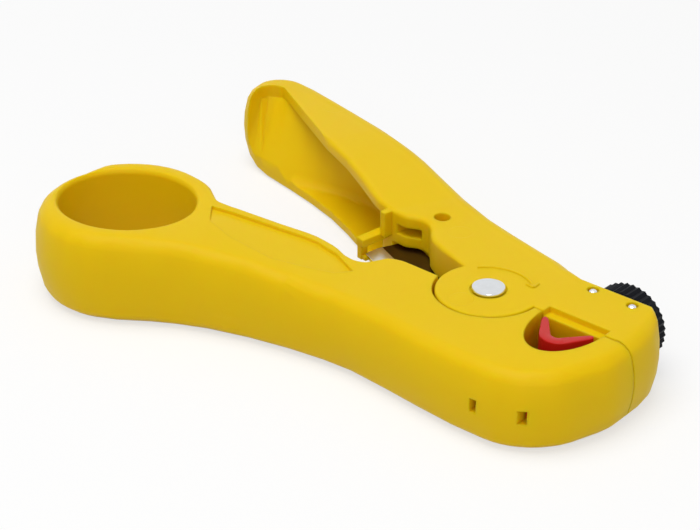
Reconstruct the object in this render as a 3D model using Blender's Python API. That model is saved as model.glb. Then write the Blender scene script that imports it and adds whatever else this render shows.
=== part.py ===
"""Cable stripper with a finger-ring body and a sprung thumb lever.

Squeezing the lever towards the body swings the cutting blade into a slot in the
body and opens the jaw at the nose. A cable lies through the jaw, square to the
tool, pressed by a sprung V seat against the lever, where a small blade stands
proud by as much as the knurled knob lets it.

The pivot stands on the Z axis, with its foot on z = 0. X runs towards the nose.
The lever is drawn closed and turned open about the pivot. Lengths are in
millimetres up to the last step, which writes metres.
"""
import math

import bmesh
import bpy
from mathutils import Vector

MM = 0.001

# Body and lever as flat mouldings
THICKNESS = 14.0
HANDLE_RISE = 2.4
RISE_START = 22.0
RISE_END = 58.0
CROWN = 1.5
CROWNED_EDGE = 1.9
PLAIN_EDGE = 0.5
CONTACT_EDGE = 0.2
RUNNING_GAP = 0.3

# Finger ring
RING_X = -67.5
RING_Y = -3.9
RING_OUTER_R = 16.2
HOLE_Y = -3.0
HOLE_LONG_R = 13.3
HOLE_SHORT_R = 12.0
HOLE_EDGE = 0.9

# Pivot
DISC_R = 8.8
DISC_GAP = 0.45
DISC_EDGE = 0.35
DISC_JOIN = 141.0
TONGUE_R = 8.6
PLATE = 3.2
PLATE_GAP = 0.4
RIVET_SHANK_R = 1.6
RIVET_HEAD_R = 2.8
RIVET_HEAD_PROUD = 0.6
RIVET_HEAD_SINK = 0.35
RIVET_TAIL_DEPTH = 0.9
LEVER_OPEN = 22.0

# Torsion spring round the rivet
TORSION_COIL_R = 3.9
TORSION_WIRE_R = 0.4
TORSION_TURNS = 2.75
TORSION_PITCH = 1.15
TORSION_LEG_AT = 112.0
TORSION_LEG_RUN = 5.0
BODY_LEG_AT = TORSION_LEG_AT + 360 * TORSION_TURNS

# Jaw, whose line runs from the pivot to the nose
JAW_X = 16.3
JAW_Y = -3.85
JAW_ANGLE = -14.3
JAW_GAP = 0.3
NOSE_REACH = 12.1
FACE_START = 4.6
POCKET_HALF = 6.0
LIP_HALF = 5.9
LIP_WIDTH = 1.75
LIP_DEPTH = 1.0

# Sprung V seat for the cable
SEAT_HALF = 4.7
SEAT_DEPTH = 7.3
SEAT_TOP_GAP = 0.4
SEAT_TIP = -0.9
V_MOUTH_HALF = 4.0
V_DEPTH = 5.0
V_ROUND = 1.3
SEAT_TRAVEL = 2.4
ARM_SPACING = 7.8
ARM_SHIFT = 0.4
ARM_WIDTH = 0.7
ARM_HEIGHT = 1.8
ARM_END = -17.2
STEM_R = 0.9
STEM_END = -12.6
SEAT_COIL_R = 1.65
SEAT_WIRE_R = 0.15
SEAT_TURNS = 6.0
BORE_END = -17.2
POCKET_DEPTH = SEAT_DEPTH + SEAT_TRAVEL + 2 * RUNNING_GAP

# Knob, its retaining pins and the blade carrier in the lever's head
HEAD_DEPTH = 12.7
KNOB_R = 6.9
KNOB_WIDTH = 4.1
KNOB_RIDGES = 36
KNOB_RIDGE = 0.3
KNOB_CHAMFER = 0.4
NECK_R = 4.1
GROOVE_R = 2.8
GROOVE_WIDTH = 1.9
GROOVE_AT = HEAD_DEPTH - 1.9
PIN_R = 0.7
PIN_SPACING = 7.66
PIN_DOME = 0.25
SCREW_R = 1.5
SCREW_TIP = 4.2
CARRIER_HALF = 3.3
CARRIER_HEIGHT = 4.8
CARRIER_LENGTH = 4.6
CARRIER_AT = 2.5
CARRIER_TRAVEL = 0.8
STRIP_BLADE_HALF = 2.5
STRIP_BLADE_THICK = 0.6
STRIP_BLADE_PROUD = 0.6
STRIP_BLADE_BEVEL = 1.2

# Cutting blade in the lever
BLADE_X = -31.8
BLADE_Y = 1.4
BLADE_ANGLE = -16.0
BLADE_LENGTH = 15.0
BLADE_HEIGHT = 9.0
BLADE_BEVEL = 2.3
BLADE_THICK = 0.6
BLADE_Z = 7.3
BLADE_ROOM_SPARE = 0.1
GUARD_X = -33.6
GUARD_WIDTH = 1.2
GUARD_REACH = 0.8
GUARD_TOP = 9.5
GUARD_FOOT = 5.6
RIB_START = -32.0
RIB_END = -30.8
RIB_NEAR = 4.9
SLIT_START = -29.6
SLIT_END = -25.0
SLIT_NEAR = 5.0
SLIT_FAR = 11.3
SLIT_LOW = 9.9
SLIT_HIGH = 11.7
LEVER_HOLE_X = -23.3
LEVER_HOLE_Y = 11.6
LEVER_HOLE_R = 1.45
LEVER_HOLE_DEPTH = 2.6

# Scoop in the lever for the thumb
SCOOP_SKIN = 1.8
SCOOP_END = -33.2
SCOOP_MOUTH = 4.0
# Back wall, hub end first: x and y at its foot, then x and y at its top
SCOOP_WALL = ((-33.2, 14.5, -33.2, 14.5), (-36.0, 17.6, -36.0, 17.6), (-42.0, 19.6, -42.0, 19.6),
              (-50.8, 21.0, -51.2, 21.0), (-55.0, 20.5, -57.0, 21.1), (-59.0, 19.7, -63.0, 21.5),
              (-62.0, 18.6, -68.0, 21.9), (-65.2, 17.4, -72.5, 22.3), (-69.2, 16.1, -76.5, 22.6))
SCOOP_TIP_FEET = ((-73.3, 15.2), (-76.5, 15.3), (-79.5, 15.5), (-82.0, 15.7), (-83.8, 15.8))
TIP_START = -83.8
TIP_CORNER_R = 3.2
FLANGE_REACH = 24.2
FLANGE_SLOPE = -21.0
FLANGE_END = -55.0

# Recessed panel on the body
PANEL_DEPTH = 0.5

# Colours as red, green and blue in linear light
YELLOW = (0.80, 0.53, 0.018)
RED = (0.50, 0.012, 0.010)
BLACK = (0.012, 0.014, 0.018)
STEEL = (0.60, 0.61, 0.63)

MID_Z = THICKNESS / 2
RISE_STEPS = ((0.0, 0.0), (0.25, 0.156), (0.5, 0.5), (0.75, 0.844), (1.0, 1.0))


# Placing

def turn(x, y, degrees):
    """Turns a point about the pivot."""
    angle = math.radians(degrees)
    return (x * math.cos(angle) - y * math.sin(angle), x * math.sin(angle) + y * math.cos(angle))


def opened(x, y):
    """Takes a point of the closed lever to where it lies at rest."""
    return turn(x, y, -LEVER_OPEN)


def jaw(u, v):
    """Takes u along the jaw line and v square to it, towards the lever, into the tool's plane."""
    x, y = turn(u, v, JAW_ANGLE)
    return (JAW_X + x, JAW_Y + y)


def along_jaw():
    """The jaw line's direction, towards the nose."""
    return Vector(turn(1.0, 0.0, JAW_ANGLE))


def place_jaw(u, v, z):
    """The same for a point at height z."""
    x, y = jaw(u, v)
    return Vector((x, y, z))


def disc_meets_jaw(radius, offset):
    """Where a circle about the pivot crosses the line at v = offset, on the nose's side."""
    u0, v0 = turn(-JAW_X, -JAW_Y, -JAW_ANGLE)
    return jaw(u0 + math.sqrt(radius ** 2 - (offset - v0) ** 2), offset)


# Outlines

class Knot:
    """A control point of an outline: crowned is its share of the handle's crown, lean a fixed normal."""

    def __init__(self, point, crowned=0.0, sharp=False, edge=PLAIN_EDGE, lean=None):
        self.point = Vector(point)
        self.crowned = crowned
        self.sharp = sharp
        self.edge = edge
        self.lean = lean


def arc_knots(centre, radius, start, end, crowned=0.0, edge=PLAIN_EDGE, step=15.0):
    """Knots along an arc from start to end, in degrees."""
    count = max(1, round(abs(end - start) / step))
    knots = []
    for i in range(count + 1):
        angle = math.radians(start + (end - start) * i / count)
        point = (centre[0] + radius * math.cos(angle), centre[1] + radius * math.sin(angle))
        knots.append(Knot(point, crowned, edge=edge))
    return knots


def tangent(before, here, after, entering):
    """The curve's direction at a knot, scaled by the span next to it."""
    span = (here.point - before.point).length if entering else (after.point - here.point).length
    if here.sharp:
        away = here.point - before.point if entering else after.point - here.point
        return away
    back = here.point - before.point
    ahead = after.point - here.point
    direction = back / back.length ** 2 + ahead / ahead.length ** 2
    weight = 1 / back.length + 1 / ahead.length
    return direction / weight * span


def sample_outline(knots, step=0.7):
    """Runs a smooth closed curve through the knots, with corners at the sharp ones."""
    samples = []
    count = len(knots)
    for i, here in enumerate(knots):
        before = knots[i - 1]
        after = knots[(i + 1) % count]
        beyond = knots[(i + 2) % count]
        leaving = tangent(before, here, after, False)
        arriving = tangent(here, after, beyond, True)
        pieces = max(1, math.ceil((after.point - here.point).length / step))
        for k in range(pieces):
            t = k / pieces
            place = (here.point * (2 * t ** 3 - 3 * t ** 2 + 1) + leaving * (t ** 3 - 2 * t ** 2 + t)
                     + after.point * (3 * t ** 2 - 2 * t ** 3) + arriving * (t ** 3 - t ** 2))
            crowned = here.crowned + (after.crowned - here.crowned) * t
            edge = here.edge + (after.edge - here.edge) * t
            first = k == 0
            samples.append((place, crowned, edge, here.sharp and first, here.lean if first else None))
    return samples


def outline(knots, most_turn=6.0, longest=7.0):
    """Thins the sampled curve where it runs straight. Gives place, outward normal, crown and edge."""
    samples = sample_outline(knots)
    count = len(samples)
    kept = []
    turned = 0.0
    run = 0.0
    for i, (place, crowned, edge, sharp, lean) in enumerate(samples):
        back = (place - samples[i - 1][0]).normalized()
        ahead = (samples[(i + 1) % count][0] - place).normalized()
        along = (back + ahead).normalized()
        stretch = 1 / max(0.5, along.dot(ahead))
        normal = lean or Vector((along.y, -along.x)) * stretch
        turned += abs(math.degrees(back.angle(ahead, 0.0)))
        run += (place - samples[i - 1][0]).length
        next_sharp = samples[(i + 1) % count][3]
        if sharp or i == 0 or turned > most_turn or (run > longest and not next_sharp):
            kept.append((place, normal, crowned, edge))
            turned = 0.0
            run = 0.0
    return kept


# Meshes

def new_object(name, bm, material):
    """Makes an object of a mesh drawn in millimetres."""
    bmesh.ops.remove_doubles(bm, verts=bm.verts, dist=1e-5)
    bmesh.ops.recalc_face_normals(bm, faces=bm.faces)
    mesh = bpy.data.meshes.new(name)
    bm.to_mesh(mesh)
    bm.free()
    obj = bpy.data.objects.new(name, mesh)
    bpy.context.scene.collection.objects.link(obj)
    if material:
        mesh.materials.append(material)
    return obj


def stacked(name, rings, material=None):
    """Closes a stack of rings, each with as many points, into one solid."""
    bm = bmesh.new()
    rows = [[bm.verts.new(point) for point in ring] for ring in rings]
    count = len(rows[0])
    for low, high in zip(rows, rows[1:]):
        for i in range(count):
            j = (i + 1) % count
            bm.faces.new((low[i], low[j], high[j], high[i]))
    bm.faces.new(list(reversed(rows[0])))
    bm.faces.new(rows[-1])
    return new_object(name, bm, material)


def slab(name, line, low, high, material=None):
    """A flat moulding: crowned side walls and rounded edges round the outline."""
    levels = []
    for degrees in (90, 60, 30, 0):
        levels.append((0, degrees))
    for share in (0.25, 0.5, 0.75):
        levels.append((share, None))
    for degrees in (0, 30, 60, 90):
        levels.append((1, degrees))
    height = high - low
    rings = []
    for share, degrees in levels:
        ring = []
        for place, normal, crowned, edge in line:
            edge_r = edge + (CROWNED_EDGE - edge) * crowned
            if degrees is None:
                rise = edge_r + (height - 2 * edge_r) * share
                inset = 0.0
            else:
                angle = math.radians(degrees)
                drop = edge_r * (1 - math.sin(angle))
                rise = drop if share == 0 else height - drop
                inset = edge_r * (1 - math.cos(angle))
            inset += CROWN * crowned * (2 * rise / height - 1) ** 2
            point = place - normal * inset
            ring.append((point.x, point.y, low + rise))
        rings.append(ring)
    return stacked(name, rings, material)


def prism(name, points, low, high, material=None):
    """A straight extrusion of a polygon of the tool's plane, between two heights."""
    return stacked(name, [[(x, y, z) for x, y in points] for z in (low, high)], material)


def jaw_box(name, u0, u1, v0, v1, z0, z1, material=None):
    """A box along the jaw's own directions."""
    corners = [jaw(u0, v0), jaw(u1, v0), jaw(u1, v1), jaw(u0, v1)]
    return prism(name, corners, z0, z1, material)


def closed_box(name, x0, x1, y0, y1, z0, z1, material=None):
    """A box along the closed lever's directions, opened with it."""
    corners = [opened(x0, y0), opened(x1, y0), opened(x1, y1), opened(x0, y1)]
    return prism(name, corners, z0, z1, material)


def turned(name, profile, place, sides=32, material=None):
    """Turns (radius, height) steps about an axis; place takes (across, side, along) to the tool."""
    rings = []
    for radius, along in profile:
        ring = []
        for k in range(sides):
            angle = 2 * math.pi * k / sides
            ring.append(place(radius * math.cos(angle), radius * math.sin(angle), along))
        rings.append(ring)
    return stacked(name, rings, material)


def on_pivot(a, b, along):
    return Vector((a, b, along))


def on_knob(a, b, along):
    return place_jaw(a, along, MID_Z + b)


def tube(name, path, radius, sides=8, material=None):
    """A wire of round section along a path, with flat ends."""
    rings = []
    side = None
    for i, here in enumerate(path):
        ahead = path[min(i + 1, len(path) - 1)]
        back = path[max(i - 1, 0)]
        along = (ahead - back).normalized()
        if side is None:
            helper = Vector((0, 0, 1)) if abs(along.z) < 0.9 else Vector((1, 0, 0))
            side = along.cross(helper).normalized()
        side = (side - along * side.dot(along)).normalized()
        up = along.cross(side)
        ring = []
        for k in range(sides):
            angle = 2 * math.pi * k / sides
            ring.append(here + (side * math.cos(angle) + up * math.sin(angle)) * radius)
        rings.append(ring)
    return stacked(name, rings, material)


def evaluated_mesh(obj):
    graph = bpy.context.evaluated_depsgraph_get()
    return bpy.data.meshes.new_from_object(obj.evaluated_get(graph))


def combine(obj, tool, operation):
    """Applies one Boolean and drops the tool."""
    modifier = obj.modifiers.new(operation, "BOOLEAN")
    modifier.operation = operation
    modifier.object = tool
    bpy.context.view_layer.update()
    mesh = evaluated_mesh(obj)
    obj.modifiers.clear()
    old = obj.data
    obj.data = mesh
    bpy.data.meshes.remove(old)
    bpy.data.objects.remove(tool, do_unlink=True)


def cut(obj, *tools):
    for tool in tools:
        combine(obj, tool, "DIFFERENCE")


def join(obj, *tools):
    for tool in tools:
        combine(obj, tool, "UNION")


def raise_handle(obj, towards):
    """Thickens the handle's end: heights grow smoothly with the distance towards it."""
    towards = Vector((towards[0], towards[1], 0.0)).normalized()
    bm = bmesh.new()
    bm.from_mesh(obj.data)
    bmesh.ops.triangulate(bm, faces=bm.faces)
    for share, _ in RISE_STEPS:
        spot = towards * (RISE_START + (RISE_END - RISE_START) * share)
        geometry = bm.verts[:] + bm.edges[:] + bm.faces[:]
        bmesh.ops.bisect_plane(bm, geom=geometry, dist=1e-5, plane_co=spot, plane_no=towards)
    for vert in bm.verts:
        share = (vert.co.dot(towards) - RISE_START) / (RISE_END - RISE_START)
        vert.co.z *= 1 + HANDLE_RISE / THICKNESS * rise_at(share)
    bm.to_mesh(obj.data)
    bm.free()


def rise_at(share):
    """The share of the full rise at a share of the ramp."""
    share = min(1.0, max(0.0, share))
    for (s0, r0), (s1, r1) in zip(RISE_STEPS, RISE_STEPS[1:]):
        if share <= s1:
            return r0 + (r1 - r0) * (share - s0) / (s1 - s0)
    return 1.0


# Body

def ring_ellipse(grow):
    points = []
    sides = 48
    for k in range(sides):
        angle = 2 * math.pi * k / sides
        x = RING_X + (HOLE_LONG_R + grow) * math.cos(angle)
        y = HOLE_Y + (HOLE_SHORT_R + grow) * math.sin(angle)
        points.append((x, y))
    return points


def ring_hole():
    """The finger hole, with rounded rims above and below."""
    steps = []
    for degrees in (90, 60, 30, 0):
        angle = math.radians(degrees)
        steps.append((HOLE_EDGE * (1 - math.sin(angle)), HOLE_EDGE * (math.cos(angle) - 1)))
    rings = []
    rings.append([(x, y, -HOLE_EDGE) for x, y in ring_ellipse(0.0)])
    for drop, grow in steps:
        rings.append([(x, y, drop) for x, y in ring_ellipse(-HOLE_EDGE - grow)])
    for drop, grow in reversed(steps):
        rings.append([(x, y, THICKNESS - drop) for x, y in ring_ellipse(-HOLE_EDGE - grow)])
    rings.append([(x, y, THICKNESS + HOLE_EDGE) for x, y in ring_ellipse(0.0)])
    return stacked("ring_hole", rings)


def body_outline():
    """From the nose along the jaw line, round the tongue, up the handle, the ring and back."""
    face = -JAW_GAP / 2
    knots = [Knot(jaw(NOSE_REACH, face), 1.0, True, lean=along_jaw()),
             Knot(jaw(NOSE_REACH - FACE_START, face), 0.0, True, CONTACT_EDGE)]
    start = disc_meets_jaw(TONGUE_R, face)
    start_angle = math.degrees(math.atan2(start[1], start[0]))
    knots.append(Knot(start, 0.0, True, CONTACT_EDGE))
    knots += arc_knots((0, 0), TONGUE_R, start_angle + 12, 166, edge=CONTACT_EDGE)
    knots.append(Knot((-TONGUE_R, 0.3), 0.0, True, CONTACT_EDGE))
    for x, y in ((-13.0, 1.6), (-17.4, 2.6), (-19.2, 2.3), (-20.6, 0.9), (-22.0, -0.6), (-23.8, -1.0),
                 (-25.8, -0.4), (-28.6, 1.4), (-32.3, 2.7), (-40.0, 3.0), (-46.0, 3.2), (-50.5, 3.4),
                 (-53.2, 4.0)):
        knots.append(Knot((x, y)))
    ring = (RING_X, RING_Y)
    knots += arc_knots(ring, RING_OUTER_R, 38, 50, crowned=0.3, step=12)
    knots += arc_knots(ring, RING_OUTER_R, 66, 134, crowned=0.5, step=17)
    knots += arc_knots(ring, RING_OUTER_R - 0.3, 151, 288, crowned=1.0, step=17)
    for x, y in ((-53.5, -15.8), (-46.8, -14.3), (-37.9, -13.6), (-28.6, -13.8), (-19.1, -15.0),
                 (-8.6, -18.4), (1.7, -21.9), (7.6, -23.4)):
        knots.append(Knot((x, y), 1.0))
    for back, down in ((11.3, 20.5), (6.9, 18.2), (3.3, 14.3), (1.1, 8.9), (0.0, 4.2)):
        knots.append(Knot(jaw(NOSE_REACH - back, -down), 1.0))
    return outline(knots)


def pocket_outline():
    """The jaw's pocket: half an ellipse that opens at the jaw line."""
    points = [jaw(-POCKET_HALF, 2.0), jaw(-POCKET_HALF, 0.0)]
    sides = 24
    for k in range(1, sides):
        angle = math.pi * k / sides
        points.append(jaw(-POCKET_HALF * math.cos(angle), -POCKET_DEPTH * math.sin(angle)))
    points += [jaw(POCKET_HALF, 0.0), jaw(POCKET_HALF, 2.0)]
    return points


def recess_panel():
    """A shallow bare panel whose floor runs out at the outer side."""
    corners = ((-53.0, 1.5, 1.0), (-50.6, -3.2, 0.15), (-45.0, -6.1, 0.1), (-36.0, -8.2, 0.1),
               (-24.7, -6.7, 0.3), (-22.4, -4.6, 1.0), (-27.3, -0.9, 1.0), (-32.0, 1.1, 1.0),
               (-34.8, 1.4, 1.0))
    floor = [(x, y, THICKNESS - PANEL_DEPTH * deep) for x, y, deep in corners]
    top = [(x, y, THICKNESS + 1.0) for x, y, _ in corners]
    return stacked("panel", [floor, top])


def torsion_pocket():
    """Room in the tongue for the torsion spring and for the sweep of its two legs."""
    outer = TORSION_COIL_R + TORSION_WIRE_R + RUNNING_GAP
    inner = TORSION_COIL_R - TORSION_WIRE_R - RUNNING_GAP
    floor = torsion_floor() - RUNNING_GAP
    top = THICKNESS
    coil = turned("coil_room", [(outer, floor), (outer, top)], on_pivot, 36)
    post = turned("coil_post", [(inner, floor - 1), (inner, top + 1)], on_pivot, 24)
    cut(coil, post)
    return coil


def torsion_floor():
    """The lowest point of the torsion spring."""
    height = TORSION_TURNS * TORSION_PITCH + 2 * TORSION_WIRE_R
    return THICKNESS - PLATE - PLATE_GAP - height


def sector(name, radius, start, end, low, high):
    """A wedge about the pivot."""
    points = [(0.0, 0.0)]
    steps = 8
    for k in range(steps + 1):
        points.append(turn(radius, 0.0, start + (end - start) * k / steps))
    return prism(name, points, low, high)


def make_body(material):
    body = slab("main_body", body_outline(), 0.0, THICKNESS, material)
    recess_r = DISC_R + DISC_GAP
    upper = THICKNESS - PLATE - PLATE_GAP
    lower = PLATE + PLATE_GAP
    cut(body,
        turned("disc_top", [(recess_r, upper), (recess_r, THICKNESS + 1)], on_pivot, 64),
        turned("disc_low", [(recess_r, -1.0), (recess_r, lower)], on_pivot, 64),
        prism("pocket", pocket_outline(), -1.0, THICKNESS + 1),
        ring_hole())
    bore_r = RIVET_SHANK_R + RUNNING_GAP
    cut(body, torsion_pocket(),
        turned("bore", [(bore_r, -1.0), (bore_r, THICKNESS + 1)], on_pivot, 24))
    leg_low = THICKNESS - PLATE - PLATE_GAP - 2 * TORSION_WIRE_R - 2 * RUNNING_GAP
    lever_leg = sector("lever_leg", 2 * TONGUE_R, TORSION_LEG_AT - 6, TORSION_LEG_AT + LEVER_OPEN + 9,
                       leg_low, THICKNESS)
    keep = TORSION_COIL_R
    cut(lever_leg, turned("keep", [(keep, 0.0), (keep, THICKNESS + 1)], on_pivot, 24))
    cut(body, lever_leg, body_leg_slot())
    arm_gap = 2 * RUNNING_GAP
    for side in (-1, 1):
        centre = side * ARM_SPACING / 2 + ARM_SHIFT
        half = (ARM_WIDTH + arm_gap) / 2
        tall = (ARM_HEIGHT + arm_gap) / 2
        cut(body, jaw_box("channel", centre - half, centre + half, -40.0, -POCKET_DEPTH / 2,
                          MID_Z - tall, MID_Z + tall))
    spring_bore = SEAT_COIL_R + SEAT_WIRE_R + RUNNING_GAP
    cut(body, turned("seat_bore", [(spring_bore, BORE_END), (spring_bore, -POCKET_DEPTH / 2)],
                     on_knob, 20))
    cut(body, *cutter_slots())
    cut(body, recess_panel())
    raise_handle(body, (RING_X, 0.0))
    return body


def cutter_slots():
    """Slots in the body's inner wall for the blade and for the guard beside it, lever closed."""
    reach = 2 * RUNNING_GAP
    blade_low = BLADE_Z - BLADE_THICK / 2 - reach
    blade_high = BLADE_Z + BLADE_THICK / 2 + reach
    end_x, end_y = blade_corner(BLADE_LENGTH, 0.0)
    blade = prism("blade_slot", [(GUARD_X, end_y - reach), (end_x + 3.2, end_y - reach),
                                 (end_x + 3.2, 6.0), (GUARD_X, 6.0)], blade_low, blade_high)
    low_y = GUARD_REACH - reach
    guard = prism("guard_slot", [(GUARD_X - 1.8, low_y), (GUARD_X + 2.8, low_y),
                                 (GUARD_X + 2.8, 6.0), (GUARD_X - 1.8, 6.0)],
                  GUARD_FOOT - reach, GUARD_TOP + reach)
    return blade, guard


# Lever

def lever_outline():
    """From the nose over the head, along the lever to its tip, back along the scoop to the hub."""
    face = JAW_GAP / 2
    knots = [Knot(jaw(NOSE_REACH - FACE_START, face), 0.0, True, CONTACT_EDGE),
             Knot(jaw(NOSE_REACH, face), 1.0, True, lean=along_jaw()),
             Knot(jaw(NOSE_REACH - 0.2, 4.6), 1.0),
             Knot(jaw(NOSE_REACH - 1.6, HEAD_DEPTH - 3.5), 0.9),
             Knot(jaw(NOSE_REACH - 3.9, HEAD_DEPTH - 0.5), 0.5),
             Knot(jaw(NOSE_REACH - 5.7, HEAD_DEPTH), 0.0, True),
             Knot(jaw(-7.3, HEAD_DEPTH), 0.0, True)]
    for x, y in ((4.2, 16.6), (1.2, 17.5), (-4.2, 18.1), (-9.5, 18.7), (-15.0, 19.3), (-20.6, 20.2),
                 (-26.7, 21.5), (-33.7, 23.2), (-41.0, 25.0), (-47.5, 26.1), (-54.0, 27.0),
                 (-60.3, 27.7), (-67.0, 28.4), (-73.5, 29.0), (-79.0, 29.3), (-83.3, 28.8),
                 (-86.4, 26.7), (-88.0, 23.6)):
        knots.append(Knot(opened(x, y), 1.0))
    for x, y in ((-88.1, 20.2), (-86.3, 17.2)):
        knots.append(Knot(opened(x, y), 1.2))
    knots.append(Knot(opened(-83.0, 15.9), 0.8))
    for x, y in ((-77.5, 15.9), (-70.0, 15.5), (-62.5, 14.7), (-54.5, 13.3), (-46.3, 10.9),
                 (-40.0, 8.7), (-34.6, 6.8)):
        knots.append(Knot(opened(x, y), 0.0, edge=0.8))
    for x, y in ((-31.6, 6.5), (-29.4, 6.7), (-27.4, 7.0), (-25.6, 8.2), (-23.4, 8.3), (-21.6, 7.2),
                 (-19.8, 5.6), (-17.8, 4.6), (-12.5, 3.4)):
        knots.append(Knot(opened(x, y), 0.0, edge=0.8))
    end = disc_meets_jaw(DISC_R, face)
    end_angle = math.degrees(math.atan2(end[1], end[0]))
    knots.append(Knot(turn(DISC_R, 0.0, DISC_JOIN), 0.0, True, DISC_EDGE))
    knots += arc_knots((0, 0), DISC_R, DISC_JOIN + 10, 360 + end_angle - 10, edge=DISC_EDGE)
    knots.append(Knot(end, 0.0, True, CONTACT_EDGE))
    return outline(knots)


def flange_line(x):
    """Where the upper flange's straight inner edge lies, lever closed."""
    return FLANGE_REACH + (x - TIP_START) * math.tan(math.radians(FLANGE_SLOPE))


def flange_corner():
    """The rounded corner of the flange's inner edge at the tip, lever closed."""
    centre = (TIP_START + TIP_CORNER_R, flange_line(TIP_START + TIP_CORNER_R) - TIP_CORNER_R)
    corner = []
    for degrees in (90, 120, 150, 180):
        x, y = turn(TIP_CORNER_R, 0.0, degrees)
        corner.append((centre[0] + x, centre[1] + y))
    return corner


def scoop():
    """The hollow under the thumb. Its back wall leans towards the tip and runs out there at the lower lip."""
    feet = [point[:2] for point in SCOOP_WALL] + list(SCOOP_TIP_FEET)
    tops = [point[2:] for point in SCOOP_WALL] + flange_corner() + [(TIP_START, SCOOP_TIP_FEET[-1][1] + 1.0)]
    low, high = SCOOP_SKIN, THICKNESS - SCOOP_SKIN
    rings = []
    for up, inset in ((0.0, 1.4), (0.4, 0.6), (1.4, 0.0), (high - low, 0.0)):
        share = up / (high - low)
        ring = [(*opened(SCOOP_END, SCOOP_MOUTH), low + up)]
        for foot, top in zip(feet, tops):
            x = foot[0] + (top[0] - foot[0]) * share
            y = foot[1] + (top[1] - foot[1]) * share - inset
            ring.append((*opened(x, y), low + up))
        ring.append((*opened(TIP_START, SCOOP_MOUTH), low + up))
        rings.append(list(reversed(ring)))
    return stacked("scoop", rings)


def flange_trim():
    """Cuts the upper flange back to its straight edge and rounded corner."""
    points = [opened(*point) for point in flange_corner()]
    points += [opened(TIP_START, SCOOP_MOUTH), opened(FLANGE_END, SCOOP_MOUTH),
               opened(FLANGE_END, flange_line(FLANGE_END))]
    return prism("flange_trim", points, THICKNESS - SCOOP_SKIN - RUNNING_GAP, THICKNESS + 1)


def blade_corner(along, up):
    """A point of the cutting blade, measured along its edge and square to it, lever closed."""
    x, y = turn(along, up, BLADE_ANGLE)
    return (BLADE_X + x, BLADE_Y + y)


def guard_parts():
    """The guard beside the blade: a bar over its end, with a leg down past it and a toe below it."""
    inside = GUARD_X + GUARD_WIDTH
    above = BLADE_Z + BLADE_THICK / 2 + 2 * RUNNING_GAP
    below = BLADE_Z - BLADE_THICK / 2 - 2 * RUNNING_GAP
    bar = closed_box("bar", GUARD_X, inside + 0.6, GUARD_REACH, 9.0, above, GUARD_TOP)
    leg = closed_box("leg", GUARD_X + 0.1, inside, GUARD_REACH + 0.1, GUARD_REACH + 1.5, GUARD_FOOT,
                     GUARD_TOP - 0.2)
    toe = closed_box("toe", inside - 0.3, inside + 1.0, GUARD_REACH + 0.2, GUARD_REACH + 1.3,
                     GUARD_FOOT + 0.1, below)
    rib = closed_box("rib", RIB_START, RIB_END, RIB_NEAR, 9.2, GUARD_TOP - 0.4, THICKNESS - 0.3)
    return bar, leg, toe, rib


def make_lever(material):
    lever = slab("lever", lever_outline(), 0.0, THICKNESS, material)
    hub_r = DISC_R + 2 * RUNNING_GAP
    cut(lever,
        turned("hub_room", [(hub_r, PLATE), (hub_r, THICKNESS - PLATE)], on_pivot, 64),
        scoop(),
        flange_trim())
    join(lever, *guard_parts())
    gap = RUNNING_GAP
    blade = [opened(*blade_corner(-gap, 0.6)), opened(*blade_corner(BLADE_LENGTH + gap, 0.6)),
             opened(*blade_corner(BLADE_LENGTH + gap, BLADE_HEIGHT + gap)),
             opened(*blade_corner(-gap, BLADE_HEIGHT + gap))]
    half = BLADE_THICK / 2 + gap + BLADE_ROOM_SPARE
    cut(lever, prism("blade_room", blade, BLADE_Z - half, BLADE_Z + half))
    hole = opened(LEVER_HOLE_X, LEVER_HOLE_Y)
    bore_r = RIVET_SHANK_R + gap
    head_r = RIVET_HEAD_R + gap
    cut(lever,
        closed_box("slit", SLIT_START, SLIT_END, SLIT_NEAR, SLIT_FAR, SLIT_LOW, SLIT_HIGH),
        turned("hole", [(LEVER_HOLE_R, THICKNESS - LEVER_HOLE_DEPTH), (LEVER_HOLE_R, THICKNESS + 1)],
               lambda a, b, along: Vector((hole[0] + a, hole[1] + b, along)), 20),
        turned("rivet_bore", [(bore_r, -1.0), (bore_r, THICKNESS + 1)], on_pivot, 24),
        turned("head_sink", [(head_r, THICKNESS - RIVET_HEAD_SINK), (head_r, THICKNESS + 1)], on_pivot, 32),
        turned("tail_sink", [(head_r, -1.0), (head_r, RIVET_TAIL_DEPTH + gap)], on_pivot, 32),
        jaw_box("lip", -LIP_HALF, LIP_HALF, -1.0, LIP_WIDTH, THICKNESS - LIP_DEPTH, THICKNESS + 1),
        leg_notch())
    cut_head(lever)
    raise_handle(lever, opened(-1.0, 0.25))
    return lever


def cut_head(lever):
    """Room in the lever's head for the knob's neck, the carrier, the small blade and the two pins."""
    gap = RUNNING_GAP
    bore_r = NECK_R + gap
    half = CARRIER_HALF + gap
    tall = CARRIER_HEIGHT / 2 + gap
    room_start = CARRIER_AT - CARRIER_TRAVEL - gap
    room_end = CARRIER_AT + CARRIER_LENGTH + CARRIER_TRAVEL + gap
    thin = STRIP_BLADE_THICK / 2 + gap
    cut(lever,
        turned("neck_bore", [(bore_r, room_end - 0.2), (bore_r, HEAD_DEPTH + 1)], on_knob, 32),
        jaw_box("carrier_room", -half, half, room_start, room_end, MID_Z - tall, MID_Z + tall),
        jaw_box("blade_way", -STRIP_BLADE_HALF - gap, STRIP_BLADE_HALF + gap, -1.0, room_start + 0.5,
                MID_Z - thin, MID_Z + thin))
    for side in (-1, 1):
        spot = jaw(side * PIN_SPACING / 2, GROOVE_AT)
        pin_hole = [(PIN_R + gap, 0.9), (PIN_R + gap, THICKNESS + 1)]
        cut(lever, turned("pin_hole", pin_hole,
                          lambda a, b, along: Vector((spot[0] + a, spot[1] + b, along)), 16))


# Pivot parts

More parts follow.
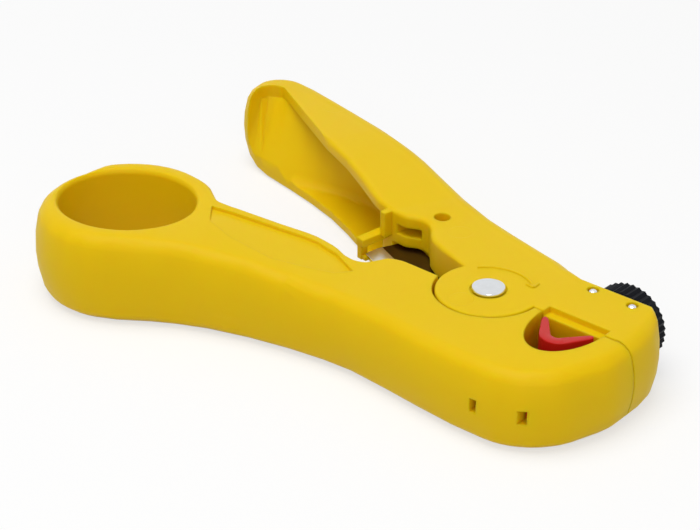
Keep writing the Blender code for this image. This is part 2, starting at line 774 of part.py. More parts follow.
def make_rivet(material):
    """A flat-headed rivet whose closed tail lies flush with the underside."""
    head = RIVET_HEAD_R
    low_head = THICKNESS - RIVET_HEAD_SINK + RUNNING_GAP
    top = THICKNESS + RIVET_HEAD_PROUD
    profile = [(head - 0.2, 0.0), (head, 0.2), (head, RIVET_TAIL_DEPTH), (RIVET_SHANK_R, RIVET_TAIL_DEPTH),
               (RIVET_SHANK_R, low_head), (head, low_head), (head, top - 0.3), (head - 0.1, top - 0.1),
               (head - 0.35, top)]
    return turned("pivot_rivet", profile, on_pivot, 32, material)


def torsion_path():
    """Two legs joined by a helix: the lower leg holds in the body, the upper one in the lever."""
    floor = torsion_floor() + TORSION_WIRE_R
    top = floor + TORSION_TURNS * TORSION_PITCH
    reach = DISC_R + 2.6
    path = []
    start = turn(reach, 0.0, TORSION_LEG_AT)
    path.append(Vector((start[0], start[1], top)))
    steps = round(TORSION_TURNS * 16)
    for k in range(steps + 1):
        angle = TORSION_LEG_AT + 20 + (BODY_LEG_AT - TORSION_LEG_AT - 40) * k / steps
        x, y = turn(TORSION_COIL_R, 0.0, angle)
        path.append(Vector((x, y, top - TORSION_TURNS * TORSION_PITCH * k / steps)))
    end = turn(TONGUE_R - 1.2, 0.0, BODY_LEG_AT)
    path.append(Vector((end[0], end[1], floor)))
    return path


def make_torsion_spring(material):
    return tube("lever_spring", torsion_path(), TORSION_WIRE_R, 8, material)


def body_leg_slot():
    """Holds the lower leg of the torsion spring in the tongue."""
    low = torsion_floor() - RUNNING_GAP
    wedge = sector("body_leg", TONGUE_R - 0.8, BODY_LEG_AT - 24, BODY_LEG_AT + 8, low, THICKNESS)
    keep = TORSION_COIL_R
    cut(wedge, turned("keep", [(keep, 0.0), (keep, THICKNESS + 1)], on_pivot, 24))
    return wedge


def leg_notch():
    """A notch in the lever's hub wall round the upper leg of the torsion spring."""
    tip, root = torsion_path()[:2]
    along = (tip - root).normalized()
    half = TORSION_WIRE_R + RUNNING_GAP
    across = Vector((along.y, -along.x, 0.0)) * half
    start = tip - along * TORSION_LEG_RUN
    end = tip + along * RUNNING_GAP * 2
    corners = [(point.x, point.y) for point in (start + across, end + across, end - across, start - across)]
    return prism("leg_notch", list(reversed(corners)), tip.z - half, tip.z + half)


# Jaw parts

def seat_outline():
    """A V within half an ellipse, its two tips at the jaw line."""
    points = []
    sides = 20
    lean = math.asin(-SEAT_TIP / SEAT_DEPTH)
    for k in range(sides + 1):
        angle = lean + (math.pi - 2 * lean) * k / sides
        points.append(jaw(-SEAT_HALF * math.cos(angle), -SEAT_DEPTH * math.sin(angle)))
    slope = math.atan2(V_MOUTH_HALF, V_DEPTH + SEAT_TIP)
    centre_v = -V_DEPTH + V_ROUND
    flank_u = V_ROUND * math.cos(slope)
    flank_v = centre_v - V_ROUND * math.sin(slope)
    mouth = min(SEAT_HALF - 0.7, V_MOUTH_HALF)
    points.append(jaw(mouth + 0.45, SEAT_TIP + 0.35))
    points.append(jaw(mouth, SEAT_TIP))
    turns = 8
    points.append(jaw(flank_u, flank_v))
    for k in range(1, turns):
        angle = -slope + (2 * slope - math.pi) * k / turns
        points.append(jaw(V_ROUND * math.cos(angle), centre_v + V_ROUND * math.sin(angle)))
    points.append(jaw(-flank_u, flank_v))
    points.append(jaw(-mouth, SEAT_TIP))
    points.append(jaw(-mouth - 0.45, SEAT_TIP + 0.35))
    return points


def make_seat(material):
    """The V seat, with two arms that run in the body's channels and a stem inside its spring."""
    seat = prism("cable_seat", seat_outline(), SEAT_TOP_GAP, THICKNESS - SEAT_TOP_GAP, material)
    for side in (-1, 1):
        centre = side * ARM_SPACING / 2 + ARM_SHIFT
        half = ARM_WIDTH / 2
        tall = ARM_HEIGHT / 2
        join(seat, jaw_box("arm", centre - half, centre + half, ARM_END, -2.6, MID_Z - tall, MID_Z + tall))
    join(seat, turned("stem", [(STEM_R, STEM_END), (STEM_R, -SEAT_DEPTH + 0.5)], on_knob, 16))
    return seat


def seat_spring_path():
    """A compression coil between the seat's back and the end of its bore."""
    start = -SEAT_DEPTH - SEAT_WIRE_R - RUNNING_GAP
    end = BORE_END + SEAT_WIRE_R + RUNNING_GAP
    steps = round(SEAT_TURNS * 14)
    path = []
    for k in range(steps + 1):
        angle = 2 * math.pi * SEAT_TURNS * k / steps
        path.append(on_knob(SEAT_COIL_R * math.cos(angle), SEAT_COIL_R * math.sin(angle),
                            start + (end - start) * k / steps))
    return path


def make_seat_spring(material):
    return tube("seat_spring", seat_spring_path(), SEAT_WIRE_R, 6, material)


# Head parts

def make_knob(material):
    """The knurled knob with its neck, groove and flange."""
    base = HEAD_DEPTH + RUNNING_GAP
    groove_low = GROOVE_AT - GROOVE_WIDTH / 2
    groove_high = GROOVE_AT + GROOVE_WIDTH / 2
    flange = CARRIER_AT + CARRIER_LENGTH + CARRIER_TRAVEL + 2 * RUNNING_GAP
    neck = turned("adjusting_knob",
                  [(NECK_R, flange), (NECK_R, groove_low), (GROOVE_R, groove_low), (GROOVE_R, groove_high),
                   (NECK_R, groove_high), (NECK_R, base + 1.0)], on_knob, 32, material)
    sides = KNOB_RIDGES * 2
    rings = []
    chamfer = KNOB_CHAMFER
    for radius, along in ((KNOB_R - chamfer, base), (KNOB_R, base + chamfer),
                          (KNOB_R, base + KNOB_WIDTH - chamfer), (KNOB_R - chamfer, base + KNOB_WIDTH)):
        ring = []
        for k in range(sides):
            angle = 2 * math.pi * k / sides
            reach = radius - (KNOB_RIDGE if k % 2 else 0.0)
            ring.append(on_knob(reach * math.cos(angle), reach * math.sin(angle), along))
        rings.append(ring)
    join(neck, stacked("knurl", rings, material))
    bore_r = SCREW_R + RUNNING_GAP
    screw_head = base + KNOB_WIDTH - 1.2
    cut(neck, turned("screw_bore", [(bore_r, flange - 1), (bore_r, screw_head - 0.2)], on_knob, 20))
    return neck


def make_screw(material):
    """The screw set in the knob, whose thread moves the carrier."""
    end = HEAD_DEPTH + KNOB_WIDTH - 1.2 - RUNNING_GAP
    return turned("knob_screw", [(SCREW_R - 0.3, SCREW_TIP), (SCREW_R, SCREW_TIP + 0.4), (SCREW_R, end)],
                  on_knob, 16, material)


def make_pins(material):
    """Two pins that pass beside the knob's groove and hold it in."""
    pins = []
    for side, name in ((-1, "knob_pin_rear"), (1, "knob_pin_front")):
        x, y = jaw(side * PIN_SPACING / 2, GROOVE_AT)
        top = THICKNESS
        profile = [(PIN_R, 0.9 + RUNNING_GAP), (PIN_R, top - PIN_DOME), (PIN_R * 0.75, top - PIN_DOME * 0.4),
                   (PIN_R * 0.35, top)]
        pins.append(turned(name, profile, lambda a, b, along: Vector((x + a, y + b, along)), 16, material))
    return pins


def make_carrier(material):
    """The block that the screw drives, with a threaded bore behind and a slot for the blade."""
    half = CARRIER_HALF
    tall = CARRIER_HEIGHT / 2
    carrier = jaw_box("blade_carrier", -half, half, CARRIER_AT, CARRIER_AT + CARRIER_LENGTH,
                      MID_Z - tall, MID_Z + tall, material)
    bore_r = SCREW_R + RUNNING_GAP
    gap = RUNNING_GAP
    thin = STRIP_BLADE_THICK / 2 + gap
    cut(carrier,
        turned("carrier_bore", [(bore_r, strip_blade_end() + gap), (bore_r, CARRIER_AT + CARRIER_LENGTH + 1)],
               on_knob, 20),
        jaw_box("carrier_slot", -STRIP_BLADE_HALF - gap, STRIP_BLADE_HALF + gap, CARRIER_AT - 1,
                strip_blade_end() + gap, MID_Z - thin, MID_Z + thin))
    return carrier


def strip_blade_end():
    """Where the small blade ends inside the carrier, clear of the screw's tip."""
    return SCREW_TIP - CARRIER_TRAVEL - 2 * RUNNING_GAP


def make_strip_blade(material):
    """The small blade, ground on both faces to its edge."""
    front = JAW_GAP / 2 - STRIP_BLADE_PROUD
    back = strip_blade_end()
    thin = STRIP_BLADE_THICK / 2
    section = [(front, 0.05), (front + STRIP_BLADE_BEVEL, thin), (back, thin), (back, -thin),
               (front + STRIP_BLADE_BEVEL, -thin), (front, -0.05)]
    rings = [[place_jaw(u, v, MID_Z + z) for v, z in section] for u in (-STRIP_BLADE_HALF, STRIP_BLADE_HALF)]
    return stacked("stripping_blade", rings, material)


def make_cutter(material):
    """The cutting blade: a flat plate with one ground face along its edge."""
    thin = BLADE_THICK / 2
    section = [(0.0, -thin), (BLADE_HEIGHT, -thin), (BLADE_HEIGHT, thin), (BLADE_BEVEL, thin),
               (0.0, -thin + 0.1)]
    rings = []
    for along in (0.0, BLADE_LENGTH):
        ring = []
        for up, z in section:
            x, y = opened(*blade_corner(along, up))
            ring.append((x, y, BLADE_Z + z))
        rings.append(ring)
    return stacked("cutter_blade", rings, material)


# Assembly

def make_material(name, colour, roughness, metallic=0.0):
    material = bpy.data.materials.new(name)
    material.use_nodes = True
    shader = material.node_tree.nodes["Principled BSDF"]
    shader.inputs["Base Color"].default_value = (*colour, 1.0)
    shader.inputs["Roughness"].default_value = roughness
    shader.inputs["Metallic"].default_value = metallic
    material.diffuse_color = (*colour, 1.0)
    return material


def finish(obj, origin):
    """Writes metres, sets the object's origin and shades round faces smooth."""
    shift = Vector(origin)
    for vert in obj.data.vertices:
        vert.co = (vert.co - shift) * MM
    obj.location = shift * MM
    obj.data.shade_smooth()
    obj.data.set_sharp_from_angle(angle=math.radians(35))


def main():
    for obj in list(bpy.data.objects):
        bpy.data.objects.remove(obj, do_unlink=True)
    yellow = make_material("yellow_plastic", YELLOW, 0.42)
    red = make_material("red_plastic", RED, 0.35)
    black = make_material("black_plastic", BLACK, 0.5)
    steel = make_material("bright_steel", STEEL, 0.25, 1.0)
    pivot = (0.0, 0.0, MID_Z)
    knob_centre = on_knob(0.0, 0.0, HEAD_DEPTH)
    seat_centre = on_knob(0.0, 0.0, 0.0)
    finish(make_body(yellow), (0.0, 0.0, 0.0))
    finish(make_lever(yellow), pivot)
    finish(make_rivet(steel), pivot)
    finish(make_torsion_spring(steel), pivot)
    finish(make_cutter(steel), pivot)
    finish(make_seat(red), seat_centre)
    finish(make_seat_spring(steel), seat_centre)
    finish(make_knob(black), knob_centre)
    finish(make_screw(steel), knob_centre)
    for pin in make_pins(steel):
        finish(pin, pivot)
    finish(make_carrier(steel), seat_centre)
    finish(make_strip_blade(steel), seat_centre)


main()
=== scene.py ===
"""Looks of the cable stripper: its finishes, the floor, the light and the camera."""

from collections import namedtuple
import math

import bmesh
import bpy
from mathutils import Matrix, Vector


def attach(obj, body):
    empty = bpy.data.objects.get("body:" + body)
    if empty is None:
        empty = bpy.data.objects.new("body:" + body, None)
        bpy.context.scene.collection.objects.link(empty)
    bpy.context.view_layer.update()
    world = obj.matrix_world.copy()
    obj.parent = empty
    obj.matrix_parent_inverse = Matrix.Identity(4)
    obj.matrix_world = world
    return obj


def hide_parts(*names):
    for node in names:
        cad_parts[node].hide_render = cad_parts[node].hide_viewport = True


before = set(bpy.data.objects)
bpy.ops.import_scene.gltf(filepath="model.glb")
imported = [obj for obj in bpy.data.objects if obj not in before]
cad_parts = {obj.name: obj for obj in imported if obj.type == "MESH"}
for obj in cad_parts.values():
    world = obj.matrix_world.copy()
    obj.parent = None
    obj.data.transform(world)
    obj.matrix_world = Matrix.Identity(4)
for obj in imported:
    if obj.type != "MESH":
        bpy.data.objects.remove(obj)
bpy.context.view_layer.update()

# Lengths are in metres. Angles are in degrees, apart from those given through math.radians.

# Camera, fitted to the photograph: 160 mm above the tool's top face
IMAGE_WIDTH = 700
FOCAL_PIXELS = 2000
SENSOR = 36.0
CAMERA_AT = (0.10909, -0.26266, 0.174)
CAMERA_TILT = 28.75
CAMERA_TURN = 27.1
CLIP_START = 0.01

# Colours, linear
WHITE = (1.0, 1.0, 1.0)
YELLOW = (0.84, 0.56, 0.001)
RED = (0.58, 0.010, 0.008)
BLACK = (0.0035, 0.0042, 0.0068)
STEEL = (0.60, 0.61, 0.63)
POLISHED = (0.74, 0.76, 0.78)
# Dark brown painted on the blade's flats: a painted reflection of the shaded lever wall, not the
# steel's own colour
PAINTED_REFLECTION_BROWN = (0.13, 0.09, 0.042)

# Moulded plastics: roughness from low to high, depth of the grain, radius of the soft
# edges, level of the gloss and share of the light that scatters inside
Plastic = namedtuple("Plastic", "colour rough grain soften gloss glow")
BODY_PLASTIC = Plastic(YELLOW, (0.40, 0.52), 0.000008, 0.00045, 0.12, 0.5)
ARROW_PLASTIC = BODY_PLASTIC._replace(glow=0.0)
SEAT_PLASTIC = Plastic(RED, (0.26, 0.36), 0.000005, 0.0002, 0.3, 0.3)
KNOB_PLASTIC = Plastic(BLACK, (0.30, 0.40), 0.00001, 0.0001, 0.07, 0.0)
PLASTIC_IOR = 1.5
GLOW_RADIUS = (1.0, 0.6, 0.1)
GLOW_DEPTH = 0.0025
FLOW_TINT = 0.05
BEVEL_SAMPLES = 4

# Steels: roughness from low to high and depth of the fine unevenness
Steel = namedtuple("Steel", "colour rough depth")
TURNED_STEEL = Steel(STEEL, (0.16, 0.26), 0.000002)
PIN_STEEL = Steel(POLISHED, (0.08, 0.14), 0.000001)
WIRE_STEEL = Steel(STEEL, (0.2, 0.3), 0.000002)
STEEL_TINT = 0.12

# Noises: scale and detail
GRAIN_NOISE = (2600.0, 2.0)
FLOW_NOISE = (45.0, 3.0)
GLOSS_NOISE = (160.0, 4.0)
STEEL_NOISE = (900.0, 3.0)

# Blades: steel with lines drawn out along X and ground along the edge, with the flats painted dark
# brown as a painted reflection of the shaded lever wall
BLADE_ROUGH = (0.24, 0.36)
BLADE_DEPTH = 0.000002
BLADE_STRETCH = (0.08, 1.0, 1.0)
GROUND_TINT = 0.1
# How much the blade's lines darken the painted reflection on the flats
REFLECTION_LINES_TINT = 0.2
FLAT_NORMAL = 0.985

# Cutter blade: a point on its cutting edge, the edge's direction and its ground band's width
BLADE_AT = (-0.02896, 0.01321)
BLADE_ANGLE = math.radians(-38)
GROUND_BAND = 0.0032

# Shading: corners closer than this are one, and edges sharper than the angle stay sharp
WELD = 0.000002
SMOOTH_ANGLE = 28
LEVER_ANGLE = 60
WIRE_ANGLE = 60
SEAT_ANGLE = 40
ARROW_ANGLE = 50

# Turning arrow moulded round the pivot on the top face. The bead's profile is in shares of
# its half width and of its rise.
TOP = 0.014
ARROW_R = 0.0074
ARROW_WIDTH = 0.0006
ARROW_RISE = 0.00022
ARROW_FROM = 30
ARROW_TO = 128
ARROW_STEPS = 36
BARB = 0.0016
BARB_ANGLE = 38
BARB_RISE = ARROW_RISE * 0.96
BARB_SHARES = (0.0, 0.5, 1.0)
BEAD_PROFILE = ((-1.0, -0.3), (-0.75, 0.55), (-0.3, 1.0), (0.3, 1.0), (0.75, 0.55), (1.0, -0.3))

# Faint round marks that the mould's ejector pins leave on the top face
EJECTOR_R = 0.0021
EJECTOR_WIDTH = 0.00012
EJECTOR_DEPTH = 0.00003
LEVER_EJECTORS = ((-0.0123, 0.0161), (-0.0026, -0.0049), (-0.0529, 0.0475))

# The sprung V seat, along and square to the jaw line
JAW_AT = (0.0163, -0.00385)
JAW_ANGLE = math.radians(-14.3)
V_SHIFT = -0.00022
V_ANGLE = math.radians(35.5)
V_ROUND = 0.0022
V_BOTTOM = -0.00578
V_ARM = 0.0044
V_HALF = 0.00095
V_TIP_HALF = 0.0006
ROUND_STEPS = 8
ARM_STEPS = 4
TIP_ANGLES = (25, 45, 62, 76, 86)
SEAT_LOW = 0.0004
SEAT_HIGH = 0.0136
SEAT_EDGE = 0.00025
SEAT_EDGE_SHARE = 0.6
EDGE_PROFILE = ((1.0, 0.0), (0.3, 0.3), (0.0, 1.0))
MID = 0.007
RUNNER_US = (-0.0035, 0.0043)
RUNNER_HALF = 0.00035
RUNNER_TALL = 0.0009
RUNNER_FROM = -0.0172
RUNNER_TO = -0.0013
STEM_R = 0.0009
STEM_FROM = -0.0126
STEM_TO = -0.0060
STEM_SIDES = 16

# Floor: its colour to the lamps and to light on its way to the object, and how white it
# looks near the object and far from it
FLOOR_HALF = 3.0
FLOOR_DROP = 0.00005
FLOOR_COLOUR = 0.98
FLOOR_BOUNCE = 0.75
NEAR_SHARE = 0.62
FAR_SHARE = 1.0
NEAR = 0.12
FAR = 0.6

# Light: the world's strength, then each round lamp's place, diameter and watts
AMBIENT = 0.36
LAMPS = {
    "key": ((-0.12, -0.14, 0.9), 0.7, 5.1),
    "fill": ((0.35, -0.7, 0.45), 0.6, 1.4),
}


class Nodes:
    """Shorthand for building the node tree of a material or of the world."""

    def __init__(self, owner, output="ShaderNodeOutputMaterial"):
        self.owner = owner
        owner.use_nodes = True
        self.tree = owner.node_tree
        self.tree.nodes.clear()
        self.out = self.add(output)

    def add(self, kind, **values):
        node = self.tree.nodes.new(kind)
        for key, value in values.items():
            setattr(node, key, value)
        return node

    def link(self, start, end):
        self.tree.links.new(start, end)

    def math(self, operation, *values):
        node = self.add("ShaderNodeMath", operation=operation)
        for socket, value in zip(node.inputs, values):
            if isinstance(value, (int, float)):
                socket.default_value = value
            else:
                self.link(value, socket)
        return node.outputs[0]

    def place(self):
        return self.add("ShaderNodeTexCoord").outputs["Object"]

    def axes(self, vector):
        """The vector's three parts."""
        node = self.add("ShaderNodeSeparateXYZ")
        self.link(vector, node.inputs[0])
        return node.outputs

    def noise(self, scale, detail, stretch=None):
        node = self.add("ShaderNodeTexNoise")
        node.inputs["Scale"].default_value = scale
        node.inputs["Detail"].default_value = detail
        where = self.place()
        if stretch:
            mapping = self.add("ShaderNodeMapping")
            mapping.inputs["Scale"].default_value = stretch
            self.link(where, mapping.inputs["Vector"])
            where = mapping.outputs["Vector"]
        self.link(where, node.inputs["Vector"])
        return node.outputs["Fac"]

    def span(self, value, low, high):
        """A value of 0 to 1 stretched to low to high."""
        node = self.add("ShaderNodeMapRange")
        node.inputs["To Min"].default_value = low
        node.inputs["To Max"].default_value = high
        self.link(value, node.inputs["Value"])
        return node.outputs["Result"]

    def mixed(self, share, first, second):
        """The first colour where the share is 0 and the second where it is 1."""
        node = self.add("ShaderNodeMix", data_type="RGBA")
        sockets = [socket for socket in node.inputs if socket.type == "RGBA"]
        for socket, colour in zip(sockets, (first, second)):
            if isinstance(colour, tuple):
                socket.default_value = colour + (1.0,)
            else:
                self.link(colour, socket)
        self.link(share, node.inputs[0])
        return [socket for socket in node.outputs if socket.type == "RGBA"][0]

    def tinted(self, colour, value, amount):
        """The colour, a little darker where the value is low."""
        return self.mixed(value, tuple(part * (1 - amount) for part in colour), colour)

    def bump(self, height, distance, under=None):
        node = self.add("ShaderNodeBump")
        node.inputs["Strength"].default_value = 1.0
        node.inputs["Distance"].default_value = distance
        self.link(height, node.inputs["Height"])
        if under:
            self.link(under, node.inputs["Normal"])
        return node.outputs["Normal"]

    def soft_edges(self, radius):
        """The normal with edges rounded by a small radius."""
        node = self.add("ShaderNodeBevel", samples=BEVEL_SAMPLES)
        node.inputs["Radius"].default_value = radius
        return node.outputs["Normal"]

    def principled(self, colour, roughness, normal, **fixed):
        """The finished material. An underscore in a fixed value's name stands for a space."""
        shader = self.add("ShaderNodeBsdfPrincipled")
        self.link(colour, shader.inputs["Base Color"])
        self.link(roughness, shader.inputs["Roughness"])
        self.link(normal, shader.inputs["Normal"])
        for name, value in fixed.items():
            shader.inputs[name.replace("_", " ")].default_value = value
        self.link(shader.outputs[0], self.out.inputs["Surface"])
        return self.owner


def ejector_marks(n, centres):
    """Height 0 along thin rings round the centres and 1 elsewhere, with soft flanks."""
    x, y, _ = n.axes(n.place())
    height = None
    for centre in centres:
        away = [n.math("SUBTRACT", axis, value) for axis, value in zip((x, y), centre)]
        squares = [n.math("MULTIPLY", part, part) for part in away]
        distance = n.math("SQRT", n.math("ADD", *squares))
        off = n.math("ABSOLUTE", n.math("SUBTRACT", distance, EJECTOR_R))
        ring = n.math("MINIMUM", n.math("DIVIDE", off, EJECTOR_WIDTH), 1.0)
        height = n.math("MINIMUM", height, ring) if height else ring
    return height


def moulded(name, plastic, marks=()):
    """Moulded plastic with a fine grain, soft edges, uneven gloss and a flow in its colour."""
    n = Nodes(bpy.data.materials.new(name))
    normal = n.bump(n.noise(*GRAIN_NOISE), plastic.grain, n.soft_edges(plastic.soften))
    if marks:
        normal = n.bump(ejector_marks(n, marks), EJECTOR_DEPTH, normal)
    colour = n.tinted(plastic.colour, n.noise(*FLOW_NOISE), FLOW_TINT)
    roughness = n.span(n.noise(*GLOSS_NOISE), *plastic.rough)
    return n.principled(colour, roughness, normal, IOR=PLASTIC_IOR,
                        Specular_IOR_Level=plastic.gloss, Subsurface_Weight=plastic.glow,
                        Subsurface_Radius=GLOW_RADIUS, Subsurface_Scale=GLOW_DEPTH)


def metal(name, steel):
    """Steel with a fine unevenness in its colour and gloss."""
    n = Nodes(bpy.data.materials.new(name))
    uneven = n.noise(*STEEL_NOISE)
    return n.principled(n.tinted(steel.colour, uneven, STEEL_TINT), n.span(uneven, *steel.rough),
                        n.bump(uneven, steel.depth), Metallic=1.0)


def above_cutting_edge(n):
    """Distance from the cutter blade's cutting edge, square to it."""
    square = (-math.sin(BLADE_ANGLE), math.cos(BLADE_ANGLE))
    parts = [n.math("MULTIPLY", n.math("SUBTRACT", axis, start), share)
             for axis, start, share in zip(n.axes(n.place()), BLADE_AT, square)]
    return n.math("ADD", *parts)


def blade_steel(name):
    """Steel painted dark brown on the blade's flats as a painted reflection of the shaded lever
    wall, and bright on its ground band and edges.
    """
    n = Nodes(bpy.data.materials.new(name))
    lines = n.noise(*STEEL_NOISE, BLADE_STRETCH)
    upright = n.axes(n.add("ShaderNodeTexCoord").outputs["Normal"])[2]
    flat = n.math("GREATER_THAN", n.math("ABSOLUTE", upright), FLAT_NORMAL)
    # The flats beyond the ground band, which get the painted reflection of the shaded lever wall
    painted_reflection_mask = n.math("MULTIPLY", flat, n.math("GREATER_THAN", above_cutting_edge(n), GROUND_BAND))
    colour = n.mixed(painted_reflection_mask, n.tinted(POLISHED, lines, GROUND_TINT),
                     n.tinted(PAINTED_REFLECTION_BROWN, lines, REFLECTION_LINES_TINT))
    return n.principled(colour, n.span(lines, *BLADE_ROUGH), n.bump(lines, BLADE_DEPTH),
                        Metallic=1.0)


def smooth(obj, angle):
    """Round faces shaded smooth, with flat ones kept flat and edges sharper than the angle kept."""
    for face in obj.data.polygons:
        face.use_smooth = True
    obj.modifiers.new("weld", "WELD").merge_threshold = WELD
    obj.modifiers.new("edges", "EDGE_SPLIT").split_angle = math.radians(angle)
    obj.modifiers.new("even", "WEIGHTED_NORMAL")


def dress(nodes, material, angle=SMOOTH_ANGLE):
    """The finish for one or more CAD nodes."""
    for node in nodes:
        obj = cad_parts[node]
        for slot in obj.material_slots:
            slot.material = material
        smooth(obj, angle)


def dress_all():
    dress(["main_body"], moulded("moulded_yellow_body", BODY_PLASTIC))
    dress(["lever"], moulded("moulded_yellow_lever", BODY_PLASTIC, LEVER_EJECTORS), LEVER_ANGLE)
    dress(["adjusting_knob"], moulded("moulded_black", KNOB_PLASTIC))
    dress(["pivot_rivet", "knob_pin_rear", "knob_pin_front"], metal("polished_steel", PIN_STEEL))
    dress(["knob_screw", "blade_carrier"], metal("turned_steel", TURNED_STEEL))
    dress(["cutter_blade", "stripping_blade"], blade_steel("blade_steel"))
    dress(["lever_spring", "seat_spring"], metal("spring_wire", WIRE_STEEL), WIRE_ANGLE)
    make_arrow(moulded("moulded_yellow_arrow", ARROW_PLASTIC))
    make_seat(moulded("moulded_red", SEAT_PLASTIC))


def bridge(bm, rings):
    """Skins the rings in turn and closes both ends."""
    for first, second in zip(rings, rings[1:]):
        for k in range(len(first)):
            after = (k + 1) % len(first)
            bm.faces.new((first[k], first[after], second[after], second[k]))
    bm.faces.new(rings[0])
    bm.faces.new(rings[-1])


def new_piece(name, bm, material, angle, body):
    """The bmesh as a smooth shaded piece that rides on a body."""
    bmesh.ops.recalc_face_normals(bm, faces=bm.faces)
    mesh = bpy.data.meshes.new(name)
    bm.to_mesh(mesh)
    bm.free()
    mesh.materials.append(material)
    piece = bpy.data.objects.new(name, mesh)
    bpy.context.collection.objects.link(piece)
    smooth(piece, angle)
    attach(piece, body)
    return piece


def on_circle(angle, radius):
    """A point on the top face, at an angle and distance from the pivot."""
    turn = math.radians(angle)
    return Vector((math.cos(turn) * radius, math.sin(turn) * radius, TOP))


def bead(bm, path, rise):
    """A low rounded bead along a path of points on the top face, closed at both ends."""
    rings = []
    for index, point in enumerate(path):
        ahead = path[min(index + 1, len(path) - 1)]
        behind = path[max(index - 1, 0)]
        along = (ahead - behind).normalized()
        across = Vector((-along.y, along.x, 0.0)) * ARROW_WIDTH / 2
        up = Vector((0.0, 0.0, rise))
        rings.append([bm.verts.new(point + across * side + up * lift)
                      for side, lift in BEAD_PROFILE])
    bridge(bm, rings)


def make_arrow(material):
    """The turning arrow: a bead round the pivot with a two-barbed head at its right end."""
    bm = bmesh.new()
    sweep = ARROW_TO - ARROW_FROM
    bead(bm, [on_circle(ARROW_FROM + sweep * k / ARROW_STEPS, ARROW_R)
              for k in range(ARROW_STEPS + 1)], ARROW_RISE)
    tip = on_circle(ARROW_FROM, ARROW_R)
    back = math.radians(ARROW_FROM + 90)
    for side in (-1, 1):
        angle = back + side * math.radians(BARB_ANGLE)
        end = tip + Vector((math.cos(angle), math.sin(angle), 0.0)) * BARB
        bead(bm, [tip + (end - tip) * share for share in BARB_SHARES], BARB_RISE)
    new_piece("turn_arrow", bm, material, ARROW_ANGLE, "lever")


def jaw(u, v, z):
    """A point u along the jaw line and v square to it, towards the lever, at height z."""
    cos, sin = math.cos(JAW_ANGLE), math.sin(JAW_ANGLE)
    return Vector((JAW_AT[0] + u * cos - v * sin, JAW_AT[1] + u * sin + v * cos, z))


def seat_stations():
    """Points on the V's middle line from tip to tip, each with its direction and half width."""
    centre = V_BOTTOM + V_ROUND
    foot = (V_ROUND * math.cos(V_ANGLE), centre - V_ROUND * math.sin(V_ANGLE))
    way = (math.sin(V_ANGLE), math.cos(V_ANGLE))

    def on_arm(along, half):
        return (foot[0] + way[0] * along, foot[1] + way[1] * along), way, half

    right = []
    for k in range(1, ROUND_STEPS + 1):
        turn = -math.pi / 2 + (math.pi / 2 - V_ANGLE) * k / ROUND_STEPS
        right.append(((V_ROUND * math.cos(turn), centre + V_ROUND * math.sin(turn)),
                      (-math.sin(turn), math.cos(turn)), V_HALF))
    for k in range(1, ARM_STEPS + 1):
        share = k / ARM_STEPS
        right.append(on_arm(V_ARM * share, V_HALF + (V_TIP_HALF - V_HALF) * share))
    for degrees in TIP_ANGLES:
        angle = math.radians(degrees)
        right.append(on_arm(V_ARM + V_TIP_HALF * math.sin(angle), V_TIP_HALF * math.cos(angle)))
    left = [((-u, v), (du, -dv), half) for (u, v), (du, dv), half in reversed(right)]
    return left + [((0.0, V_BOTTOM), (1.0, 0.0), V_HALF)] + right


def seat_ring(bm, station):
    """One upright cross-section of the V's wall, with rounded top and bottom edges."""
    (u, v), (du, dv), half = station
    edge = min(SEAT_EDGE, half * SEAT_EDGE_SHARE)
    side = [(half - edge * inset, edge * drop) for inset, drop in EDGE_PROFILE]
    section = [(w, SEAT_HIGH - d) for w, d in side]
    section += [(w, SEAT_LOW + d) for w, d in reversed(side)]
    section += [(-w, SEAT_LOW + d) for w, d in side]
    section += [(-w, SEAT_HIGH - d) for w, d in reversed(side)]
    return [bm.verts.new(jaw(V_SHIFT + u - dv * w, v + du * w, z)) for w, z in section]


def bar(bm, section, start, end):
    """A straight bar square to the jaw line, with its section along that line and up."""
    bridge(bm, [[bm.verts.new(jaw(u, v, MID + up)) for u, up in section] for v in (start, end)])


def make_seat(material):
    """The V seat with round-ended arms, its two runners and the stem inside its spring."""
    bm = bmesh.new()
    bridge(bm, [seat_ring(bm, station) for station in seat_stations()])
    for u in RUNNER_US:
        corners = ((-1, -1), (1, -1), (1, 1), (-1, 1))
        bar(bm, [(u + a * RUNNER_HALF, b * RUNNER_TALL) for a, b in corners],
            RUNNER_FROM, RUNNER_TO)
    turns = [2 * math.pi * k / STEM_SIDES for k in range(STEM_SIDES)]
    bar(bm, [(STEM_R * math.cos(a), STEM_R * math.sin(a)) for a in turns], STEM_FROM, STEM_TO)
    seat = new_piece("jaw_seat", bm, material, SEAT_ANGLE, "cable_seat")
    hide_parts("cable_seat")


def share_by_distance(n):
    """A share that rises from near the object to far from it."""
    away = n.add("ShaderNodeVectorMath", operation="LENGTH")
    n.link(n.place(), away.inputs[0])
    ramp = n.add("ShaderNodeMapRange", interpolation_type="SMOOTHSTEP")
    values = {"From Min": NEAR, "From Max": FAR, "To Min": NEAR_SHARE, "To Max": FAR_SHARE}
    for name, value in values.items():
        ramp.inputs[name].default_value = value
    n.link(away.outputs["Value"], ramp.inputs["Value"])
    return ramp.outputs["Result"]


def white_to_camera(n, shader, share):
    """The shader, lifted towards white by a share where the camera or a reflection sees it."""
    path = n.add("ShaderNodeLightPath")
    seen = path.outputs["Is Camera Ray"]
    for name in ("Is Glossy Ray", "Is Transmission Ray"):
        seen = n.math("MAXIMUM", seen, path.outputs[name])
    white = n.add("ShaderNodeEmission")
    white.inputs["Color"].default_value = WHITE + (1.0,)
    mix = n.add("ShaderNodeMixShader")
    n.link(n.math("MULTIPLY", seen, share), mix.inputs[0])
    n.link(shader, mix.inputs[1])
    n.link(white.outputs[0], mix.inputs[2])
    n.link(mix.outputs[0], n.out.inputs["Surface"])


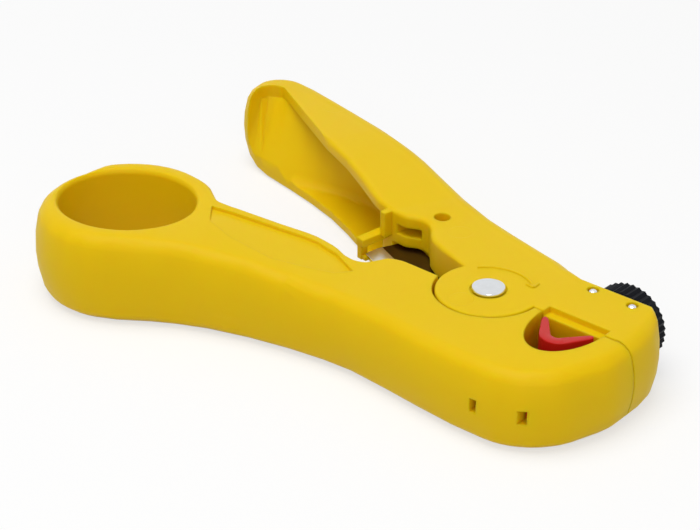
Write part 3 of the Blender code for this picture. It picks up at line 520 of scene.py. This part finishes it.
def make_floor():
    """A pale floor that throws a little less light onto the object than its colour would."""
    mesh = bpy.data.meshes.new("floor")
    corners = [(x * FLOOR_HALF, y * FLOOR_HALF, 0) for x, y in ((-1, -1), (1, -1), (1, 1), (-1, 1))]
    mesh.from_pydata(corners, [], [(0, 1, 2, 3)])
    floor = bpy.data.objects.new("floor", mesh)
    bpy.context.collection.objects.link(floor)
    floor.location.z = -FLOOR_DROP
    n = Nodes(bpy.data.materials.new("pale_floor"))
    diffuse = n.add("ShaderNodeBsdfDiffuse")
    reflecting = n.add("ShaderNodeLightPath").outputs["Is Diffuse Ray"]
    n.link(n.span(reflecting, FLOOR_COLOUR, FLOOR_BOUNCE), diffuse.inputs["Color"])
    white_to_camera(n, diffuse.outputs[0], share_by_distance(n))
    mesh.materials.append(n.owner)


def make_world():
    """An even light from all round, seen as white."""
    n = Nodes(bpy.data.worlds.new("studio"), "ShaderNodeOutputWorld")
    ambient = n.add("ShaderNodeBackground")
    ambient.inputs["Color"].default_value = WHITE + (1.0,)
    ambient.inputs["Strength"].default_value = AMBIENT
    white_to_camera(n, ambient.outputs[0], 1.0)
    bpy.context.scene.world = n.owner


def make_lamp(name, where, size, power):
    """A round lamp that faces the pivot."""
    data = bpy.data.lights.new(name, "AREA")
    data.shape = "DISK"
    data.size = size
    data.energy = power
    lamp = bpy.data.objects.new(name, data)
    bpy.context.collection.objects.link(lamp)
    lamp.location = where
    lamp.rotation_mode = "QUATERNION"
    lamp.rotation_quaternion = (-Vector(where)).to_track_quat("-Z", "Y")


def make_camera():
    data = bpy.data.cameras.new("camera")
    data.sensor_width = SENSOR
    data.lens = FOCAL_PIXELS * SENSOR / IMAGE_WIDTH
    data.clip_start = CLIP_START
    camera = bpy.data.objects.new("camera", data)
    bpy.context.collection.objects.link(camera)
    camera.location = CAMERA_AT
    tilt = math.radians(CAMERA_TILT)
    turn = math.radians(CAMERA_TURN)
    ahead = math.cos(tilt)
    look = Vector((-math.sin(turn) * ahead, math.cos(turn) * ahead, -math.sin(tilt)))
    camera.rotation_mode = "QUATERNION"
    camera.rotation_quaternion = look.to_track_quat("-Z", "Y")
    bpy.context.scene.camera = camera


bpy.context.scene.view_settings.view_transform = "Standard"
make_camera()
dress_all()
make_floor()
make_world()
for lamp_name, (lamp_at, lamp_size, lamp_power) in LAMPS.items():
    make_lamp(lamp_name, lamp_at, lamp_size, lamp_power)
